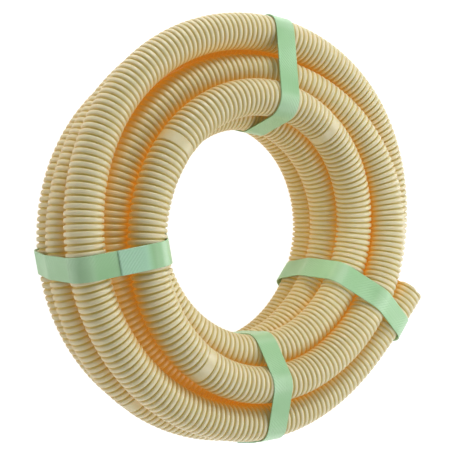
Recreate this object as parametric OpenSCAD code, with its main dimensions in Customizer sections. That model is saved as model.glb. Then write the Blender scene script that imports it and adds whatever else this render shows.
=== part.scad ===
// Coil of corrugated flexible conduit, bound with four plastic straps.
// The coil lies flat on its back. Its axis is along Z, and its front faces up.
// Clock angles run from 3 o'clock on +X (0) through 12 o'clock on +Y (90), seen from the front.

/* [Conduit] */
// Outside diameter over the rib crests
conduit_od = 30.5; // [23:0.1:36.5]
// Bore of the conduit
conduit_bore = 22; // [14:0.1:23]
// Wall thickness at the bottom of a groove
wall_t = 0.9; // [0.6:0.1:1.5]
// Distance from one rib to the next
rib_pitch = 4.9; // [4:0.1:6]
// Width of one rib
rib_w = 3; // [2.4:0.1:3.4]

/* [Coil] */
// Clear diameter of the eye at its tightest turn
eye_d = 164; // [140:1:230]
// How deep the ribs of turns side by side sink into each other
rib_nest = 1.6; // [0.4:0.1:2.2]
// Gap between turns side by side, which are drawn without their ribs
turn_gap = 0.3; // [0.1:0.05:0.5]

/* [Free end] */
// Clock angle at which the straight free end leaves the coil
end_angle = 328; // [327:1:334]
// Number of ribs on the straight free end
end_ribs = 5; // [4:1:8]
// Depth of conduit that is filled below the open bore
end_fill = 5; // [4:0.5:8]

/* [Straps] */
// Width of the strap
strap_w = 19; // [12:0.5:20]
// Thickness of the strap
strap_t = 0.9; // [0.6:0.1:1.2]
// Gap between a strap and the turns it holds
strap_gap = 0.4; // [0.3:0.05:0.8]
// Length over which the two ends of a strap are welded together
weld_len = 28; // [20:1:36]
// Clock angle of the top strap
top_angle = 81; // [60:1:83]
// How far the top strap is turned off its radius
top_skew = 2; // [-6:1:6]
// Clock angle of the left strap
left_angle = 191; // [165:1:210]
// How far the left strap is turned off its radius
left_skew = 0; // [-6:1:6]
// Clock angle of the bottom strap
bottom_angle = 273; // [273:1:300]
// How far the bottom strap is turned off its radius
bottom_skew = 0; // [-6:1:6]
// Clock angle of the right strap, which holds the free end
right_angle = 332; // [310:1:334]
// How far the right strap is turned off its radius
right_skew = -10; // [-12:1:6]

/* [Hidden] */
$fa = 3;
$fs = 0.5;

crest_r = conduit_od / 2;
bore_r = conduit_bore / 2;
groove_r = bore_r + wall_t;
eye_r = eye_d / 2;
turn_pitch = conduit_od - rib_nest;
turn_r = (turn_pitch - turn_gap) / 2;
// The half turns on the left are this much slimmer all round, which leaves clean edges at the joints
joint_step = 0.05;

// The conduit is wound in half turns, clockwise from the free end. Each joint of two half turns
// lies at 12 or 6 o'clock, where the conduit runs level and square to that line, so the half turns
// meet face to face and smoothly. A place is the distance from the innermost turn and the height,
// both counted in turns that lie side by side.
joints = [
    // At 12 o'clock, and then at 6 o'clock
    [3.6, 2.9], [2.15, 2.2],
    [2.2, 2.1], [2.2, 1.1],
    [2.25, 1.0], [2.2, 0.05],
    [1.2, 0.05], [1.2, 1.25],
    [1.15, 1.85], [1.15, 2.6],
    [0.2, 2.55], [0.1, 2.0],
    [0.0, 1.45], [0.2, 1.0],
    [0.1, 0.45], [0.3, 0.0],
];
half_turns = [0 : len(joints) - 2];

// Side of the coil that a half turn runs on: 1 for the right and -1 for the left
function side(i) = i % 2 == 0 ? 1 : -1;
function joint_r(i) = eye_r + crest_r + joints[i][0] * turn_pitch;
function joint_z(i) = joints[i][1] * turn_pitch;

// Circle of each half turn: its diameter runs from the joint at 12 o'clock to the one at 6 o'clock
function upper(i) = side(i) > 0 ? i : i + 1;
function lower(i) = side(i) > 0 ? i + 1 : i;
function span(i) = [joint_r(upper(i)) + joint_r(lower(i)), joint_z(upper(i)) - joint_z(lower(i))];
function circle_r(i) = norm(span(i)) / 2;
function circle_tilt(i) = atan2(span(i).y, span(i).x);
function circle_y(i) = (joint_r(upper(i)) - joint_r(lower(i))) / 2;
function circle_z(i) = (joint_z(upper(i)) + joint_z(lower(i))) / 2;

// Where half turn i crosses the plane at a clock angle, or the plane at a distance beside it,
// as the distance along that plane and the height
function crossing(i, angle, beside) =
    let (
        wide = circle_r(i),
        high = circle_r(i) * cos(circle_tilt(i)),
        drop = beside * cos(angle) - circle_y(i),
        a = (cos(angle) / wide) ^ 2 + (sin(angle) / high) ^ 2,
        b = drop * sin(angle) / high ^ 2 - beside * sin(angle) * cos(angle) / wide ^ 2,
        c = (beside * sin(angle) / wide) ^ 2 + (drop / high) ^ 2 - 1,
        reach = (sqrt(b ^ 2 - a * c) - b) / a
    )
    [reach, circle_z(i) + tan(circle_tilt(i)) * (reach * sin(angle) + drop)];

end_len = end_ribs * rib_pitch;
// Length of groove wall sunk into the turn that the free end grows from
end_root = 2 * rib_pitch;

strap_in_r = turn_r + strap_gap;
strap_out_r = strap_in_r + strap_t;
// How deep the upper band of a weld has melted into the lower one
weld_sink = strap_t / 2;

// Each strap lies in an upright plane: its direction, and how far it passes beside the axis
middle_r = eye_r + crest_r + turn_pitch;
function plane(angle, skew) = [angle + skew, -middle_r * sin(skew)];
top_plane = plane(top_angle, top_skew);
left_plane = plane(left_angle, left_skew);
bottom_plane = plane(bottom_angle, bottom_skew);
right_plane = plane(right_angle, right_skew);

// Half turns that pass under a strap; the first one starts on the right, below the top strap
function held(plane) = [
    for (i = half_turns)
        if (side(i) * cos(plane[0]) > 0 && (i > 0 || plane[0] > 180)) i
];
// Centres of those turns under the middle and the edges of the strap
function strap_centres(plane) = [
    for (i = held(plane), edge = [-strap_w / 2, 0, strap_w / 2])
        crossing(i, plane[0], plane[1] + edge)
];

// Pairs of half turns that the welds lie between
rim_weld = [0, 2];
top_weld = [2, 4];
front_weld = [9, 1];

// How far the coil reaches from its axis in a given direction, with the welds on the rim
function turn_reach(direction) = turn_r + max([
    for (i = half_turns)
        if (i > 0 && side(i) * cos(direction) >= 0) crossing(i, direction, 0).x
]);
function strap_reach(plane, direction, weld_t) =
    let (face = max([for (place = strap_centres(plane)) place.x]) + strap_out_r + weld_t)
    face * cos(direction - plane[0]) + plane[1] * sin(direction - plane[0])
    + strap_w / 2 * abs(sin(direction - plane[0]));
function reach(direction) = max(
    turn_reach(direction),
    strap_reach(top_plane, direction, strap_t),
    strap_reach(left_plane, direction, 0),
    strap_reach(bottom_plane, direction, strap_t),
    strap_reach(right_plane, direction, strap_t)
);
// The last rib of the free end sticks out to the right
end_reach = circle_r(0) * cos(end_angle) - (end_ribs - 0.5) * rib_pitch * sin(end_angle)
    + (crest_r - rib_w / 2) * cos(end_angle) + rib_w / 2;
// Opposite sides of the coil are as far from the origin, and the straps lie on the floor
shift = [reach(180) - max(reach(0), end_reach), reach(270) - reach(90)] / 2;
strap_planes = [top_plane, left_plane, bottom_plane, right_plane];
lift = strap_out_r - min([for (plane = strap_planes, place = strap_centres(plane)) place.y]);

conduit_beige = [0.77, 0.70, 0.53];
strap_mint = [0.70, 0.85, 0.72];

// Moves the coil from its own centre to its place on the floor
module on_floor() {
    translate([shift.x, shift.y, lift])
        children();
}

// Draws its children in the plane of a half turn, about the middle of its circle
module in_turn(i) {
    translate([0, circle_y(i), circle_z(i)])
        rotate([circle_tilt(i), 0, 0])
            children();
}

module half_turn(i, arc = 180) {
    in_turn(i)
        rotate([0, 0, -90 * side(i)])
            rotate_extrude(angle = arc)
                translate([circle_r(i), 0])
                    circle(r = side(i) > 0 ? turn_r : turn_r - joint_step);
}

module rib_section() {
    translate([0, -rib_w / 2])
        square([crest_r - rib_w / 2, rib_w]);
    translate([crest_r - rib_w / 2, 0])
        circle(d = rib_w);
}

// Half section of the straight free end, with its axis along Y
module end_section() {
    difference() {
        union() {
            translate([0, -end_root])
                square([groove_r, end_root + end_len]);
            for (i = [0 : end_ribs - 1])
                translate([0, (i + 0.5) * rib_pitch])
                    rib_section();
        }
        translate([0, end_fill])
            square([bore_r, end_len]);
        translate([-rib_w, -end_root])
            square([rib_w, end_root + end_len]);
    }
}

// Free end, straight on from the first half turn
module free_end() {
    in_turn(0)
        rotate([0, 0, end_angle])
            translate([circle_r(0), 0, 0])
                rotate([-90, 0, 0])
                    rotate_extrude()
                        end_section();
}

module conduit() {
    color(conduit_beige)
        on_floor()
            union() {
                free_end();
                half_turn(0, end_angle - 270);
                for (i = half_turns)
                    if (i > 0)
                        half_turn(i);
            }
}

// Outline round the turns under a strap, for the inside or the outside of the band
module strap_outline(plane, radius) {
    hull()
        for (place = strap_centres(plane))
            translate(place)
                circle(r = radius);
}

// Doubled band where the ends of a strap are welded, between two of the turns under it
module weld(plane, turns) {
    from = crossing(turns[0], plane[0], plane[1]);
    leg = crossing(turns[1], plane[0], plane[1]) - from;
    translate(from)
        rotate(atan2(leg.y, leg.x))
            translate([(norm(leg) - weld_len) / 2, strap_out_r - weld_sink])
                square([weld_len, strap_t + weld_sink]);
}

// Taut band round the whole bundle
module strap(plane, weld_turns) {
    color(strap_mint)
        on_floor()
            rotate([90, 0, plane[0]])
                translate([0, 0, -plane[1]])
                    linear_extrude(strap_w, center = true) {
                        difference() {
                            strap_outline(plane, strap_out_r);
                            strap_outline(plane, strap_in_r);
                        }
                        weld(plane, weld_turns);
                    }
}

module strap_top() {
    strap(top_plane, top_weld);
}

module strap_left() {
    strap(left_plane, front_weld);
}

module strap_bottom() {
    strap(bottom_plane, rim_weld);
}

module strap_right() {
    strap(right_plane, rim_weld);
}

conduit();
strap_top();
strap_left();
strap_bottom();
strap_right();
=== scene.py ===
# %% [markdown]
# # A bound coil of corrugated conduit
#
# One length of beige conduit is wound into a coil of seven turns and tied with four
# mint-green strapping bands. It lies on its back, with its front facing up.
#
# The solids from the CAD part give the frame, the size and the place of everything. They
# are smooth, because the ribs are too fine for a solid that has to be handled and weighed.
# Here the coil gets what the eye looks for: every rib, the way the turns wander from one
# lane to the next, the amber light between them, and the bands pulled tight over it all.
#
# Sizes of the coil are in millimetres and become metres only where Blender takes them.
# Places on it are read like a clock seen from the front: 3 o'clock is 0 degrees and
# 12 o'clock is 90. Lamps and camera are placed in metres.

# %% Load the frame
import math

import bpy
import numpy as np
from mathutils import Matrix, Vector


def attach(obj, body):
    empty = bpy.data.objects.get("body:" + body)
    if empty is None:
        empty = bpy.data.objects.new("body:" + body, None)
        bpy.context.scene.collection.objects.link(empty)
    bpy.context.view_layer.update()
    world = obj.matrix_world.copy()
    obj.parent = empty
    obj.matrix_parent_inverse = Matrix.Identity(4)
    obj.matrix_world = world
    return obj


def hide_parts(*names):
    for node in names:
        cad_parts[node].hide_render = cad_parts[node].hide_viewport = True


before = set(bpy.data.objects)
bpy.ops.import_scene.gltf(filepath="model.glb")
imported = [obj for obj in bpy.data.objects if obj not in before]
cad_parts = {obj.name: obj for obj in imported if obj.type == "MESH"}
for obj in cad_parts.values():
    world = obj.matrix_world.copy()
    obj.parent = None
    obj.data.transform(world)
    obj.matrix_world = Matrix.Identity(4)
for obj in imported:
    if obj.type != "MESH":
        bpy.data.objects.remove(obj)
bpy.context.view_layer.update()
print("solids in the frame:", sorted(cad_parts))

# %% [markdown]
# ## Three small tools
#
# A colour is easiest to compare with a photo as an sRGB hex code, but shaders reckon in
# linear light, so one function turns the first into the second.
#
# A material could be drawn by hand in the node editor. In a script, one function that adds
# a node and fills its inputs keeps each node to a line or two, and an input that is given
# another node's output becomes a link. A third function starts a material and hands out
# the tree that the nodes go into.

# %% Colours and nodes
def linear(code):
    """An sRGB hex colour as the linear colour that shaders work in."""
    parts = [int(code[i : i + 2], 16) / 255 for i in (1, 3, 5)]
    return (*[c / 12.92 if c <= 0.04045 else ((c + 0.055) / 1.055) ** 2.4 for c in parts], 1.0)


def add_node(tree, kind, settings=None, **inputs):
    """A new node. An input is named, or numbered like _6, and is a value or a node's output."""
    made = tree.nodes.new(kind)
    for name, value in (settings or {}).items():
        setattr(made, name, value)
    for name, value in inputs.items():
        numbered = name[1:].isdigit()
        socket = made.inputs[int(name[1:]) if numbered else name.replace("_", " ")]
        if isinstance(value, bpy.types.NodeSocket):
            tree.links.new(value, socket)
        else:
            socket.default_value = value
    return made


def new_material(name):
    """A material that has only its shader yet, with its node tree and that shader."""
    material = bpy.data.materials.new(name)
    material.use_nodes = True
    return material, material.node_tree, material.node_tree.nodes["Principled BSDF"]


print("tools ready: linear, add_node, new_material")

# %% [markdown]
# The conduit and the bands are both tubes of a kind: a row of rings, each ring joined to
# the next by a belt of four-sided faces. A curve with a bevel could make them with less
# code, but it can't change the section along the way, and ribs are nothing else. So the
# points are worked out with numpy and handed to a mesh in one go. Named values on the
# points, such as how deep a point lies in a groove, travel with the mesh to its material.

# %% Meshes from rings of points
def grid_faces(rows, columns, closed_rows=False):
    """Quads over a grid of points whose columns close on themselves."""
    row_count = rows if closed_rows else rows - 1
    row, column = np.meshgrid(np.arange(row_count), np.arange(columns), indexing="ij")
    after = (row + 1) % rows
    beside = (column + 1) % columns
    corners = [(row, column), (row, beside), (after, beside), (after, column)]
    return np.stack([r * columns + c for r, c in corners], -1).reshape(-1, 4)


def make_piece(name, points_mm, quads, material, slot, nodes, **point_values):
    """A smooth mesh piece in place of CAD nodes, with named values on its points."""
    mesh = bpy.data.meshes.new(name)
    mesh.vertices.add(len(points_mm))
    mesh.vertices.foreach_set("co", (points_mm / 1000).astype(np.float32).ravel())
    mesh.loops.add(quads.size)
    mesh.loops.foreach_set("vertex_index", quads.astype(np.int32).ravel())
    mesh.polygons.add(len(quads))
    mesh.polygons.foreach_set("loop_start", np.arange(0, quads.size, 4, dtype=np.int32))
    mesh.polygons.foreach_set("use_smooth", np.ones(len(quads), bool))
    mesh.update(calc_edges=True)
    mesh.validate()
    mesh.materials.append(material)
    for value_name, values in point_values.items():
        attribute = mesh.attributes.new(value_name, "FLOAT", "POINT")
        attribute.data.foreach_set("value", np.asarray(values, np.float32).ravel())
    piece = bpy.data.objects.new(name, mesh)
    bpy.context.scene.collection.objects.link(piece)
    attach(piece, "root")
    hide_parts(*nodes)
    print(name, 2 * len(quads), "triangles")


# %% [markdown]
# ## The route of the conduit
#
# The winder laid two turns outside and a third below them, came forward with the fourth,
# and lined the eye with the last three. A helix would be the textbook coil, but real turns
# wander: they start in one lane and slip into the next one wherever there is room. So the
# route is a table. Each row is one turn, and each pair is the radius and the height of the
# conduit's middle line at one place on the clock.

# %% Route points
# A stop is a clock angle, and the radius and the height there
FREE_END = (342, (175, 86))
# The free end springs a little outward, from this place on
END_ROOT = (328, (163, 84))
# A turn starts at 4:30, and its places lie an eighth of a turn apart
TURN_START = 315
PLACE_STEP = 45
TURNS = (
    # 4:30, 6:00, 7:30, 9:00, 10:30, 12:00, 1:30 and 3:00
    ((160, 81), (160, 80), (162, 81), (163, 82), (162, 78), (162, 77), (167, 76), (168, 64)),
    ((168, 50), (163, 48), (164, 47), (159, 47), (154, 48), (158, 46), (163, 42), (164, 33)),
    ((160, 20), (157, 18), (155, 17), (151, 17), (144, 18), (138, 21), (136, 28), (134, 38)),
    ((133, 49), (134, 55), (132, 60), (129, 64), (127, 68), (129, 71), (136, 84), (139, 91)),
    ((132, 91), (129, 90), (123, 91), (112, 91), (106, 91), (106, 91), (107, 89), (109, 80)),
    ((106, 76), (104, 74), (101, 70), (97, 65), (96, 63), (97, 61), (100, 57), (104, 50)),
    ((102, 46), (105, 45), (104, 39), (103, 34), (103, 32), (104, 31), (106, 28), (108, 21)),
)
# The inner end lies hidden at the back and stops at 6 o'clock
INNER_END = ((-2205, (108, 17)), (-2250, (110, 17)))

stops = [FREE_END, END_ROOT]
for turn, row in enumerate(TURNS):
    stops += [(TURN_START - 360 * turn - PLACE_STEP * k, place) for k, place in enumerate(row)]
stops += INNER_END
print(len(stops), "places on the route")

# %% [markdown]
# Conduit is springy, so between two places it takes the smoothest bend it can. The curve
# that does the same is the natural cubic spline, the shape of a thin strip of wood held at
# a few pins. Blender's own curves would need a handle at every place, while the spline
# needs only the places, and solving it takes one small set of linear equations.

# %% Smooth route
def natural_spline(x, y, at):
    """The smoothest curve through the points x, y, read off at the given places."""
    step = np.diff(x)
    matrix = np.eye(len(x))
    right = np.zeros((len(x), y.shape[1]))
    for i in range(1, len(x) - 1):
        matrix[i, i - 1 : i + 2] = step[i - 1], 2 * (step[i - 1] + step[i]), step[i]
        right[i] = 6 * ((y[i + 1] - y[i]) / step[i] - (y[i] - y[i - 1]) / step[i - 1])
    bend = np.linalg.solve(matrix, right)
    i = np.clip(np.searchsorted(x, at) - 1, 0, len(x) - 2)
    h = step[i, None]
    a = (x[i + 1] - at)[:, None]
    b = (at - x[i])[:, None]
    bent = (bend[i] * a**3 + bend[i + 1] * b**3) / (6 * h)
    return bent + (y[i] / h - bend[i] * h / 6) * a + (y[i + 1] / h - bend[i + 1] * h / 6) * b


# Degrees that the conduit has turned since its free end: at the stops, and every half degree
stop_turned = np.array([FREE_END[0] - clock for clock, place in stops], float)
stop_places = np.array([place for clock, place in stops], float)
ROUTE_STEP = 0.5
turned = np.arange(0, stop_turned[-1] + ROUTE_STEP / 2, ROUTE_STEP)
lane = natural_spline(stop_turned, stop_places, turned)
clock = np.radians(FREE_END[0] - turned)
route = np.stack([lane[:, 0] * np.cos(clock), lane[:, 0] * np.sin(clock), lane[:, 1]], 1)
walked = np.concatenate([[0], np.cumsum(np.linalg.norm(np.diff(route, axis=0), axis=1))])
heading = np.gradient(route, axis=0)
heading /= np.linalg.norm(heading, axis=1)[:, None]
print(f"route: {walked[-1] / 1000:.2f} m of conduit")

# %% [markdown]
# ## The conduit's plastic
#
# The conduit is polyethylene, or a plastic much like it. It is extruded as a hot hose and
# blown into moving moulds that press the ribs in. The wall is thin and lets some light
# through. Where turns lie close, hardly any daylight comes in from outside, and what is
# left has gone through one wall after another. Each wall takes more blue than red, so the
# gaps look amber and seem to glow.
#
# Real light through walls would need a hollow mesh, a glassy shader and very many samples.
# Instead each point carries the share of the sky that other turns hide from it, and the
# material paints that share into the base colour as amber: painted shade between the
# turns, in the colour of the light that has come through the walls. A second value, the
# depth in a groove, paints shade into the grooves, so they are deeper in colour than the
# crests.

# %% Polyethylene, extruded and corrugated
conduit_plastic, tree, shader = new_material("polyethylene_extruded_corrugated")
on_coil = add_node(tree, "ShaderNodeTexCoord").outputs["Object"]
hidden = add_node(tree, "ShaderNodeAttribute", {"attribute_name": "hidden_sky"}).outputs["Fac"]
depth = add_node(tree, "ShaderNodeAttribute", {"attribute_name": "depth"}).outputs["Fac"]

# A Mix node for colours has its share at input 0, its two colours at 6 and 7, its blend at output 2
COLOUR_MIX = {"data_type": "RGBA"}
# The melt is never quite even: clouds of about 9 mm, a shade paler or deeper
CLOUD = 9
cloud = add_node(tree, "ShaderNodeTexNoise", Vector=on_coil, Scale=1000 / CLOUD, Detail=3).outputs[0]
crest = add_node(tree, "ShaderNodeMix", COLOUR_MIX, _0=cloud, _6=linear("#ded6b4"), _7=linear("#d1c7a0"))
# Painted shade in the grooves: the deeper a point lies, the deeper its colour
beige = add_node(tree, "ShaderNodeMix", COLOUR_MIX, _0=depth, _6=crest.outputs[2], _7=linear("#c2b068"))
# Amber for the painted shade between the turns, deeper still in the grooves
amber = add_node(tree, "ShaderNodeMix", COLOUR_MIX, _0=depth, _6=linear("#d2a850"), _7=linear("#c48c1e"))
# A power above 1 holds the painted amber shade back until a good share of the sky is hidden
PAINTED_AMBER_POWER = 1.2
painted_amber_share = add_node(tree, "ShaderNodeMath", {"operation": "POWER"}, _0=hidden, _1=PAINTED_AMBER_POWER).outputs[0]
painted_amber_base = add_node(tree, "ShaderNodeMix", COLOUR_MIX, _0=painted_amber_share, _6=beige.outputs[2], _7=amber.outputs[2])
tree.links.new(painted_amber_base.outputs[2], shader.inputs["Base Color"])
print("material:", conduit_plastic.name)

# %% [markdown]
# The light that has come through the walls is a faint glow. It is orange between the
# turns, after several walls, and yellow in the grooves, where one wall is at its thinnest.
# Small lamps between the turns would light whole faces and couldn't tell a groove from a
# crest, so the light is painted: the plastic gives off the glow itself, as much as the two
# values say.

# %% Light through the wall
# The power keeps the glow to the deepest gaps, and the other two are its strength at most
GLOW_POWER = 1.6
GLOW_BETWEEN = 0.26
GLOW_GROOVE = 0.16
deep = add_node(tree, "ShaderNodeMath", {"operation": "POWER"}, _0=hidden, _1=GLOW_POWER).outputs[0]
between = add_node(tree, "ShaderNodeMath", {"operation": "MULTIPLY"}, _0=deep, _1=GLOW_BETWEEN)
glow = add_node(
    tree, "ShaderNodeMath", {"operation": "MULTIPLY_ADD"},
    _0=depth, _1=GLOW_GROOVE, _2=between.outputs[0],
)
# Colour of the painted glow: yellow where the sky is open, orange deep between the turns
painted_glow_colour = add_node(tree, "ShaderNodeMix", COLOUR_MIX, _0=hidden, _6=linear("#b4a050"), _7=linear("#d0902a"))
tree.links.new(painted_glow_colour.outputs[2], shader.inputs["Emission Color"])
tree.links.new(glow.outputs[0], shader.inputs["Emission Strength"])
print("glow: up to", GLOW_BETWEEN, "between the turns and", GLOW_GROOVE, "in the grooves")

# %% [markdown]
# A moulded skin is satin: the highlight on a rib is soft, and it breaks up a little where
# the skin is duller. A second noise could say where, but it is the uneven melt again, so
# the clouds of the colour drive the roughness too. The IOR stays at the shader's 1.5,
# which is about that of polyethylene.

# %% Satin skin
gloss = add_node(tree, "ShaderNodeMapRange", Value=cloud, To_Min=0.3, To_Max=0.44).outputs[0]
tree.links.new(gloss, shader.inputs["Roughness"])
# Skin grain: about 0.3 mm on the real wall, drawn at 1.5 mm so that it shows at all
GRAIN = 1.5
GRAIN_HEIGHT = 0.2
grain = add_node(tree, "ShaderNodeTexNoise", Vector=on_coil, Scale=1000 / GRAIN).outputs[0]
bump = add_node(tree, "ShaderNodeBump", Strength=0.15, Distance=GRAIN_HEIGHT / 1000, Height=grain)
tree.links.new(bump.outputs[0], shader.inputs["Normal"])
# Light spreads a few millimetres inside the wall, red furthest
SPREAD = 5
shader.inputs["Subsurface Weight"].default_value = 0.2
shader.inputs["Subsurface Radius"].default_value = (1.0, 0.6, 0.3)
shader.inputs["Subsurface Scale"].default_value = SPREAD / 1000
print("skin: grain drawn at", GRAIN, "mm")

# %% [markdown]
# ## Ribs
#
# A rib is a flat-topped ring with soft shoulders, and the groove beside it is narrow. The
# upper shoulder catches the light as one thin bright line, which is what makes the coil
# look crisp, so the shoulders get more points than the flats. A bump map would be cheaper,
# but its outline would stay smooth, and this coil is known by its scalloped edge.
#
# Here and there the mould leaves a smooth land, two ribs long.

# %% Rib profile
OD = 30.5
CREST_R = OD / 2
RIB_PITCH = 4.9
# Share of the pitch, and how far the surface lies below the crest
RIB = (
    (0.10, 2.0), (0.13, 1.3), (0.18, 0.6), (0.26, 0.15), (0.36, 0),
    (0.64, 0), (0.74, 0.15), (0.82, 0.6), (0.87, 1.3), (0.90, 2.0),
)
LAND_DROP = 0.3
# Clock angles of the lands, counted on through all the turns
LANDS = (-126, -1199, -1294, -1387)

ribs = int(walked[-1] / RIB_PITCH)
rib = np.repeat(np.arange(ribs), len(RIB))
step_in_rib = np.tile(np.arange(len(RIB)), ribs)
profile = np.array(RIB)
distance = (rib + profile[step_in_rib, 0]) * RIB_PITCH
drop = profile[step_in_rib, 1]
for clock_deg in LANDS:
    near = int(np.interp(FREE_END[0] - clock_deg, turned, walked) / RIB_PITCH)
    first_half = (rib == near) & (step_in_rib > 1)
    second_half = (rib == near + 1) & (step_in_rib < len(RIB) - 1)
    drop = np.where(first_half | second_half, LAND_DROP, drop)
print(ribs, "ribs,", len(LANDS), "lands")

# %% [markdown]
# Both ends of the conduit were sawn off, so they are open. A Solidify modifier could give
# the whole length a wall, at twice the faces, though only the ends show any of it. So the
# rows of the profile don't stop at a cut: they turn round and go back inside as the inner
# wall, for nine ribs, which is further than anyone can see in.

# %% Open ends
WALL = 0.9
END_DEPTH = 9 * len(RIB)

back_in = np.arange(END_DEPTH)
order = np.concatenate([back_in[::-1], np.arange(len(distance)), len(distance) - 1 - back_in])
inside = np.ones(len(order), bool)
inside[END_DEPTH : END_DEPTH + len(distance)] = False
rib = rib[order]
distance = distance[order]
drop = drop[order] + WALL * inside
print(len(order), "rings to draw,", int(inside.sum()), "of them inside")

# %% [markdown]
# ## Rings round the route
#
# Each step of the profile becomes a ring of 36 points square to the route. A frame that is
# carried along from ring to ring would slowly twist. Here one axis of every ring points
# away from the middle of the coil, so each ring is placed by itself and none twists.

# %% Rings of points
SIDES = 36


def along(values):
    """One row of values, taken from the route, for every ring."""
    return np.stack([np.interp(distance, walked, column) for column in values.T], 1)


spin = np.linspace(0, 2 * math.pi, SIDES, endpoint=False)
centre = along(route)
forward = along(heading)
forward /= np.linalg.norm(forward, axis=1)[:, None]
outward = centre * [1, 1, 0]
outward -= (outward * forward).sum(1)[:, None] * forward
outward /= np.linalg.norm(outward, axis=1)[:, None]
sideways = np.cross(forward, outward)
direction = outward[:, None] * np.cos(spin)[:, None] + sideways[:, None] * np.sin(spin)[:, None]
rings = centre[:, None] + (CREST_R - drop)[:, None, None] * direction
print(rings.shape[0], "rings of", SIDES, "points")

# %% [markdown]
# A saw goes through soft plastic a little slanted and tears the edge, so the last rib at
# each end is thinner on one side and has a few notches. Cutting the mesh with a boolean
# would leave long thin faces. Pushing the points of the last rib along the conduit keeps
# the grid as it is.

# %% Sawn ends
CUT_SLANT = 1.6
# Where round the conduit the saw went in deepest, in radians
CUT_SIDE = 0.8
NOTCH = 1.6
NOTCHES = 5

from_start = np.clip(1 - distance / RIB_PITCH, 0, 1)
from_end = np.clip(1 - (walked[-1] - distance) / RIB_PITCH, 0, 1)
cut = CUT_SLANT * (1 + np.cos(spin - CUT_SIDE)) / 2
cut += NOTCH * np.clip(np.sin(NOTCHES * spin), 0, 1) ** 3
rings += (from_start - from_end)[:, None, None] * cut[:, None] * forward[:, None]
print(f"cut edges: up to {cut.max():.1f} mm deep")

# %% [markdown]
# ## How much sky each point sees
#
# Cycles could measure this while it renders, with an ambient occlusion node, but that node
# sees the ribs too and would darken every groove alike. What matters here is only how the
# turns shade each other. So the coil is cut open at each rib: in that section the other
# turns are plain circles, those across the eye lie on the far side, and the floor hides
# half of what comes from below. Fifteen sight lines from each of the 36 places round the
# rib either meet a circle or go free.

# %% Hidden sky
rib_turned = np.interp((np.arange(ribs) + 0.5) * RIB_PITCH, walked, turned)
rib_r, rib_z = (np.interp(rib_turned, turned, column)[:, None] for column in lane.T)
looks = np.radians(np.arange(-70, 71, 10))
FLOOR_HIDES = 0.5
# The far wall of the eye is well lit, so it hides less than half as much as a neighbour
ACROSS_EYE = 0.4
hidden_sky = np.zeros((ribs, SIDES))
for look in looks:
    aim = spin + look
    blocked = np.tile(np.where(np.sin(aim) < 0, FLOOR_HIDES, 0), (ribs, 1))
    for half_turn in range(-2 * len(TURNS), 2 * len(TURNS) + 1):
        there = rib_turned + 180 * half_turn
        passes = (half_turn != 0) & (there >= 0) & (there <= turned[-1])
        # Odd half turns lie across the eye
        other_r = (-1) ** half_turn * np.interp(there, turned, lane[:, 0])[:, None]
        other_z = np.interp(there, turned, lane[:, 1])[:, None]
        away_r = other_r - rib_r - CREST_R * np.cos(spin)
        away_z = other_z - rib_z - CREST_R * np.sin(spin)
        ahead = away_r * np.cos(aim) + away_z * np.sin(aim)
        beside = away_r * np.sin(aim) - away_z * np.cos(aim)
        meets = passes[:, None] & (ahead > 0) & (np.abs(beside) < CREST_R)
        blocked = np.maximum(blocked, meets * (ACROSS_EYE if half_turn % 2 else 1))
    hidden_sky += blocked * math.cos(look) / np.cos(looks).sum()
print(f"hidden sky: {hidden_sky.min():.2f} to {hidden_sky.max():.2f}")

# %% [markdown]
# ## One piece for each turn
#
# The conduit is one length, and it could be one mesh. It is cut into seven, so that no
# piece grows too heavy to select and look at. The cuts lie under the right band, at the
# bottom of a groove, and two pieces share their ring there, so nothing shows.

# %% Turns of the conduit
# Inside the open ends it is dim, but light comes through the wall: the inner wall gets the
# painted amber shade and glow of a place with 0.6 of its sky hidden
INSIDE_HIDDEN = 0.6
ring_hidden = np.where(inside[:, None], INSIDE_HIDDEN, hidden_sky[rib])
ring_depth = np.repeat(np.clip(drop / max(profile[:, 1]), 0, 1)[:, None], SIDES, 1)

# Clock angle of the cuts between two pieces
SEAM = 333
ring_turned = np.interp(distance, walked, turned)
first = 0
for turn in range(len(TURNS)):
    seam_at = FREE_END[0] - SEAM + 360 * (turn + 1)
    past_seam = int(np.searchsorted(ring_turned[END_DEPTH:-END_DEPTH], seam_at))
    last = past_seam // len(RIB) * len(RIB) + END_DEPTH
    if turn == len(TURNS) - 1:
        last = len(rings) - 1
    part = slice(first, last + 1)
    make_piece(
        f"conduit_turn_{turn + 1}", rings[part].reshape(-1, 3), grid_faces(last + 1 - first, SIDES),
        conduit_plastic, "conduit_plastic", ["conduit"],
        hidden_sky=ring_hidden[part], depth=ring_depth[part],
    )
    first = last

# %% [markdown]
# ## The bands' plastic
#
# Strapping band is polypropylene, extruded flat and then drawn out to several times its
# length. Its dye is a little uneven. Where it curves hard round a turn it is painted
# whitish, partly because bent plastic goes whiter and partly as a painted sheen on the
# curve. Where its two ends are welded, two layers lie on each other and look paler and
# cooler, and a painted sheen there adds to it.
#
# A pattern could follow the mesh's place in space, but then it would run across the band
# at each bend. Each point therefore knows its place along and across the band, in
# millimetres, and whether it lies at the weld or in a bend.

# %% Polypropylene, drawn and embossed
band_plastic, tree, shader = new_material("polypropylene_drawn_embossed")
round_it = add_node(tree, "ShaderNodeAttribute", {"attribute_name": "band_along"}).outputs["Fac"]
over_it = add_node(tree, "ShaderNodeAttribute", {"attribute_name": "band_across"}).outputs["Fac"]
welded = add_node(tree, "ShaderNodeAttribute", {"attribute_name": "band_weld"}).outputs["Fac"]
bent = add_node(tree, "ShaderNodeAttribute", {"attribute_name": "band_bend"}).outputs["Fac"]
on_band = add_node(tree, "ShaderNodeCombineXYZ", X=round_it, Y=over_it).outputs[0]

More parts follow.
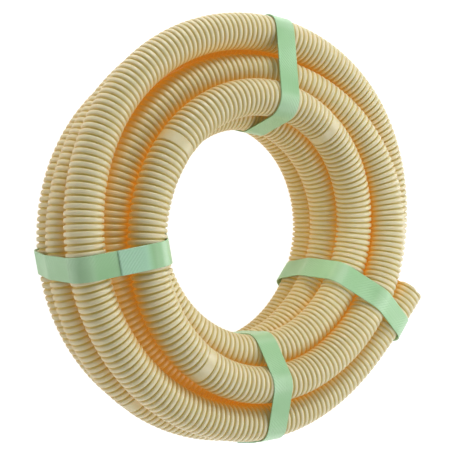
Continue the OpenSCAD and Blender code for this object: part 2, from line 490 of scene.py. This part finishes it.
# The dye varies over some 30 mm
PATCH = 30
BEND_WHITER_AND_SHEEN = 0.2
patch = add_node(tree, "ShaderNodeTexNoise", Vector=on_band, Scale=1 / PATCH, Detail=1).outputs[0]
dyed = add_node(tree, "ShaderNodeMix", COLOUR_MIX, _0=patch, _6=linear("#88b880"), _7=linear("#b0d8ae"))
# The weld is paler and cooler: partly two layers of band, partly a painted sheen
weld_layers_and_sheen = add_node(tree, "ShaderNodeMix", COLOUR_MIX, _0=welded, _6=dyed.outputs[2], _7=linear("#a8d3b4"))
# Whiter at hard bends: partly the bent plastic going whiter, partly a painted sheen on the curve
bend_whiter_and_sheen = add_node(tree, "ShaderNodeMath", {"operation": "MULTIPLY"}, _0=bent, _1=BEND_WHITER_AND_SHEEN).outputs[0]
mint = add_node(tree, "ShaderNodeMix", COLOUR_MIX, _0=bend_whiter_and_sheen, _6=weld_layers_and_sheen.outputs[2], _7=linear("#d6ead2"))
tree.links.new(mint.outputs[2], shader.inputs["Base Color"])
print("material:", band_plastic.name)

# %% [markdown]
# Drawing leaves faint lines along the band, and a roller presses a fine diagonal pattern
# into its face, which is worn away in places. Both are far shallower than the band is
# thick. Real relief that fine would take millions of faces, so they are bump: a noise that
# is stretched along the band, and a diagonal wave.

# %% Drawn lines and rolled pattern
# Draw lines: about 0.2 mm apart on the real band, drawn 1.5 mm apart so that they show
DRAW_LINE = 1.5
# A draw line is this many times as long as it is wide
DRAW_STRETCH = 50
draw_scale = (1 / DRAW_LINE / DRAW_STRETCH, 1 / DRAW_LINE, 1)
stretched = add_node(tree, "ShaderNodeMapping", Vector=on_band, Scale=draw_scale).outputs[0]
lines = add_node(tree, "ShaderNodeTexNoise", Vector=stretched, Scale=1, Detail=1).outputs[0]
# Rolled pattern: diagonals that meet an edge every 1.2 mm on the real band, every 3 mm here,
# for the same reason; a wave texture repeats after 0.628 of its scaled coordinate
ROLLED = 3
WAVE_REPEAT = 0.628
wave = add_node(
    tree, "ShaderNodeTexWave", {"bands_direction": "DIAGONAL"},
    Vector=on_band, Scale=WAVE_REPEAT / ROLLED,
).outputs["Fac"]
# The pattern is whole in the paler patches and worn away in the deeper ones
kept = add_node(tree, "ShaderNodeMapRange", Value=patch, From_Min=0.42, From_Max=0.62).outputs[0]
rolled = add_node(tree, "ShaderNodeMath", {"operation": "MULTIPLY"}, _0=wave, _1=kept).outputs[0]
relief = add_node(tree, "ShaderNodeMath", {"operation": "ADD"}, _0=lines, _1=rolled).outputs[0]
RELIEF_HEIGHT = 0.2
bump = add_node(tree, "ShaderNodeBump", Strength=0.7, Distance=RELIEF_HEIGHT / 1000, Height=relief)
tree.links.new(bump.outputs[0], shader.inputs["Normal"])
print("relief: lines", DRAW_LINE, "mm apart, diagonals every", ROLLED, "mm")

# %% [markdown]
# Drawn plastic is smooth along its length, so the band has a clear sheen and is glossier
# than the conduit. A clear coat would make it look lacquered, so only the roughness is
# lower. It is a little duller where the rolled pattern has stayed. The IOR stays at the
# shader's 1.5, which is about that of polypropylene.

# %% Sheen of the band
gloss = add_node(tree, "ShaderNodeMapRange", Value=patch, To_Min=0.24, To_Max=0.4).outputs[0]
tree.links.new(gloss, shader.inputs["Roughness"])
# The band is thin: light spreads about a millimetre in it, green furthest
BAND_SPREAD = 1
shader.inputs["Subsurface Weight"].default_value = 0.15
shader.inputs["Subsurface Radius"].default_value = (0.8, 1.0, 0.7)
shader.inputs["Subsurface Scale"].default_value = BAND_SPREAD / 1000
print("sheen: light spreads", BAND_SPREAD, "mm inside the band")

# %% [markdown]
# ## The bands
#
# A band is pulled tight round the whole bundle before its ends are welded. A tight loop
# round a few circles is their hull: straight from one outermost turn to the next, and bent
# round each of them. A cloth simulation would come close to that shape, but slowly, and
# with creases that a taut band doesn't have. The hull comes straight from the circles.
#
# So the circles are found first. A band lies in an upright plane, and each turn that goes
# through this plane gives one circle.

# %% Turns under a band
def crossings(direction_deg, aside):
    """Distance out and height where the route goes through an upright plane beside the axis."""
    turn = math.radians(direction_deg)
    out = route @ [math.cos(turn), math.sin(turn), 0]
    beside = route @ [-math.sin(turn), math.cos(turn), 0] - aside
    hit = np.flatnonzero(((beside[:-1] > 0) != (beside[1:] > 0)) & (out[:-1] > 0))
    share = beside[hit] / (beside[hit] - beside[hit + 1])
    return np.stack([v[hit] + share * (v[hit + 1] - v[hit]) for v in (out, route[:, 2])], 1)


print("turns that a band at 12 o'clock holds:", len(crossings(90, 0)))

# %% [markdown]
# For each direction round the loop, the turn that lies furthest that way carries the band,
# which runs outside it by the conduit's radius. The points are then spread evenly along
# the loop, so that its pattern and its bends run evenly too. Blender's own convex hull
# would give the outline, but neither even points nor their distance round the band.

# %% Taut loop
BAND_W = 19
BAND_GAP = 0.2
LOOP_POINTS = 220
WELD_LEN = 28
# A weld faces the way that it is given, give or take this many degrees
WELD_FACING = 30
# The step up at the edge of a weld is this long on either side
WELD_EDGE = 0.05


def band_loop(direction_deg, aside, weld_deg, weld_off):
    """Points round the inside of a taut band, their distance round it, and the weld's start."""
    facing = np.arange(0, 360, 0.5)
    normal = np.stack([np.cos(np.radians(facing)), np.sin(np.radians(facing))], 1)
    edges = (-BAND_W / 2, 0, BAND_W / 2)
    centres = np.concatenate([crossings(direction_deg, aside + edge) for edge in edges])
    loop = centres[np.argmax(centres @ normal.T, axis=0)] + (CREST_R + BAND_GAP) * normal
    loop = np.concatenate([loop, loop[:1]])
    length = np.concatenate([[0], np.cumsum(np.hypot(*np.diff(loop, axis=0).T))])
    # The weld lies on the longest straight stretch that faces the given way
    legs = np.diff(length)
    faces_so = np.abs((facing - weld_deg + 180) % 360 - 180) < WELD_FACING
    leg = int(np.argmax(np.where(faces_so, legs, 0)))
    weld_at = length[leg] + (legs[leg] - WELD_LEN) / 2 + weld_off
    even = np.linspace(0, length[-1], LOOP_POINTS, endpoint=False)
    even = np.sort(np.concatenate([even, [weld_at - WELD_EDGE, weld_at + WELD_EDGE]]))
    return np.stack([np.interp(even, length, column) for column in loop.T], 1), even, weld_at


print(f"a band at 12 o'clock is about {band_loop(90, 0, 0, 0)[1][-1]:.0f} mm long")

# %% [markdown]
# The bands look pulled on by hand: the top one and the right one lie off the radius, and
# the left one leans. A loop could space them evenly, but the coil would lose its character,
# so their places are a table. Only the left band shows its weld.

# %% Places of the bands
# Clock angle at the middle turns, angle off the radius there, lean per millimetre of height,
# the way the weld faces in the loop's own section, with the front at 90, and how far the
# weld lies off the middle of its stretch
BANDS = {
    "strap_top": (81, 2, 0, 0, 0),
    "strap_left": (191, 0, 0.06, 82, 9),
    "strap_bottom": (273, 0, 0, 0, 0),
    "strap_right": (332, -10, 0, 0, 0),
}
print(len(BANDS), "bands, each", BAND_W, "mm wide")

# %% [markdown]
# A band's section is a flat strip with its edges just broken. A plain rectangle would have
# fewer points, but its edges would be knife-sharp and catch no light.

# %% Section of a band
BAND_T = 0.9
EDGE = BAND_W / 2
# Place across the band, and share of its thickness
HALF_SECTION = ((EDGE, 0), (EDGE, 0.85), (EDGE - 0.15, 1), (EDGE - 0.5, 1), (EDGE / 3, 1))
section = [(-width, height) for width, height in HALF_SECTION] + list(HALF_SECTION[::-1])
print(len(section), "points in the section of a band")

# %% [markdown]
# Where its ends overlap, the band is twice as thick: the upper end starts at a sharp edge
# and runs on to become the band itself, as on a welded strap. A curve with the section as
# its bevel would be as thick everywhere, so the section is carried round the loop point by
# point, and grows at the weld.

# %% Bands
# Length over which a weld thins out to a single band
WELD_TAPER = 6
# Radius of the middle turns, and the height at which a leaning band has its place on the clock
MIDDLE_R = 126
FRONT_Z = 95


def bend_of(loop, out):
    """1 where the band turns as sharply as one conduit does, and 0 where it is straight."""
    turning = np.linalg.norm(np.roll(out, -1, 0) - np.roll(out, 1, 0), axis=1)
    spacing = np.linalg.norm(np.roll(loop, -1, 0) - np.roll(loop, 1, 0), axis=1)
    return np.clip(turning / spacing * CREST_R, 0, 1)


for name, (clock_deg, skew_deg, lean, weld_deg, weld_off) in BANDS.items():
    direction_deg = clock_deg + skew_deg
    aside = -MIDDLE_R * math.sin(math.radians(skew_deg))
    loop, distance_round, weld_at = band_loop(direction_deg, aside, weld_deg, weld_off)
    ahead = np.roll(loop, -1, 0) - np.roll(loop, 1, 0)
    ahead /= np.linalg.norm(ahead, axis=1)[:, None]
    out = np.stack([ahead[:, 1], -ahead[:, 0]], 1)
    from_weld = distance_round - weld_at
    doubled = np.where(from_weld > 0, np.clip((WELD_LEN - from_weld) / WELD_TAPER, 0, 1), 0)
    turn = math.radians(direction_deg)
    radial = np.array([math.cos(turn), math.sin(turn), 0])
    across = np.array([-math.sin(turn), math.cos(turn), 0])
    columns = []
    for width, height in section:
        flat = loop + (height * BAND_T * (1 + doubled))[:, None] * out
        beside = aside + width + lean * (flat[:, 1:] - FRONT_Z)
        columns.append(flat[:, :1] * radial + flat[:, 1:] * [[0, 0, 1]] + beside * across)
    make_piece(
        name + "_band", np.stack(columns, 1).reshape(-1, 3),
        grid_faces(len(loop), len(section), closed_rows=True), band_plastic, "strap_plastic", [name],
        band_along=np.repeat(distance_round[:, None], len(section), 1),
        band_across=np.repeat([[width for width, height in section]], len(loop), 0),
        band_weld=np.repeat(doubled[:, None], len(section), 1),
        band_bend=np.repeat(bend_of(loop, out)[:, None], len(section), 1),
    )

# %% [markdown]
# ## Floor
#
# The coil lies on white paper over a lit table, so the paper itself sends light up into
# the eye of the coil and under its rim. A white floor under plain lamps would come out
# grey in the picture, and lamps bright enough to clip it would wash out the plastic too.
# So the paper has a share of its own light, and more of it for the rays that come straight
# from the camera. It still takes the coil's shadow.

# %% White paper
FLOOR_SIZE = 12
bpy.ops.mesh.primitive_plane_add(size=FLOOR_SIZE)
floor = bpy.context.object
floor.name = "floor"
paper, tree, shader = new_material("paper_white_matt")
floor.data.materials.append(paper)
seen = add_node(tree, "ShaderNodeLightPath").outputs["Is Camera Ray"]
white = add_node(tree, "ShaderNodeMix", COLOUR_MIX, _0=seen, _6=linear("#f0f0f0"), _7=linear("#9a9a9a"))
tree.links.new(white.outputs[2], shader.inputs["Base Color"])
lit = add_node(tree, "ShaderNodeMapRange", Value=seen, To_Min=0.5, To_Max=0.95).outputs[0]
tree.links.new(lit, shader.inputs["Emission Strength"])
shader.inputs["Emission Color"].default_value = (1, 1, 1, 1)
# Paper is matt: no highlight, only the soft dark of the shadow
shader.inputs["Roughness"].default_value = 0.9
print("material:", paper.name)

# %% [markdown]
# ## Light
#
# The room is white all round, which softens every shadow. One smaller soft box stands
# beyond 12 o'clock and rather low: it strokes over the ribs and draws the bright line on
# the upper shoulder of each. Two wide and weaker boxes, on the right and beyond 6 o'clock,
# keep the other shoulders from going dark. The inside of the eye is turned away from all
# three. A stronger room would wash out the ribs, so a small box with a grid over it, which
# narrows its light to a beam, shines into the eye past the turns on the left.

# %% Soft boxes
world = bpy.data.worlds.new("studio")
bpy.context.scene.world = world
world.use_nodes = True
room = world.node_tree.nodes["Background"]
room.inputs["Color"].default_value = (1, 1, 1, 1)
room.inputs["Strength"].default_value = 0.28


def soft_box(name, place, size, power, aim=(0, 0, 0.05), spread=180):
    """A square studio light turned to a point, in metres and watts; a grid narrows its spread."""
    light = bpy.data.lights.new(name, "AREA")
    light.size = size
    light.energy = power
    light.spread = math.radians(spread)
    lamp = bpy.data.objects.new(name, light)
    lamp.location = place
    lamp.rotation_euler = (Vector(aim) - Vector(place)).to_track_quat("-Z", "Y").to_euler()
    bpy.context.scene.collection.objects.link(lamp)
    print(name, power, "W")


soft_box("key_beyond_twelve", (0, 1.4, 0.75), 0.5, 14)
soft_box("fill_from_the_right", (1.2, 0.1, 0.7), 0.9, 8)
soft_box("fill_below_six", (0.3, -0.9, 1.0), 0.9, 8)
soft_box("grid_into_the_eye", (-0.9, 0, 0.75), 0.12, 0.011, aim=(0.1, -0.03, 0.06), spread=6)

# %% [markdown]
# ## Camera
#
# The coil was photographed standing, from about 36 degrees to the left of its front. Here
# it lies on its back, so the camera looks down on it from the same side, with 12 o'clock
# up. A long lens from about a metre away keeps the turns at the back nearly as large as
# those in front.

# %% Camera
LENS_MM = 99.6
CAMERA_PLACE = (-0.6327, -0.0267, 0.8984)
CAMERA_LOOK = Vector((0.5935, 0.0260, -0.8044)).normalized()
CAMERA_UP = Vector((-0.0052, 0.9996, 0.0285))

camera = bpy.data.cameras.new("camera")
camera.sensor_width = 36
camera.lens = LENS_MM
eye = bpy.data.objects.new("camera", camera)
bpy.context.scene.collection.objects.link(eye)
to_the_right = CAMERA_LOOK.cross(CAMERA_UP).normalized()
axes = Matrix((to_the_right, to_the_right.cross(CAMERA_LOOK), -CAMERA_LOOK)).transposed()
eye.matrix_world = Matrix.Translation(CAMERA_PLACE) @ axes.to_4x4()
bpy.context.scene.camera = eye
bpy.context.scene.view_settings.view_transform = "Standard"
print("camera:", LENS_MM, "mm lens")
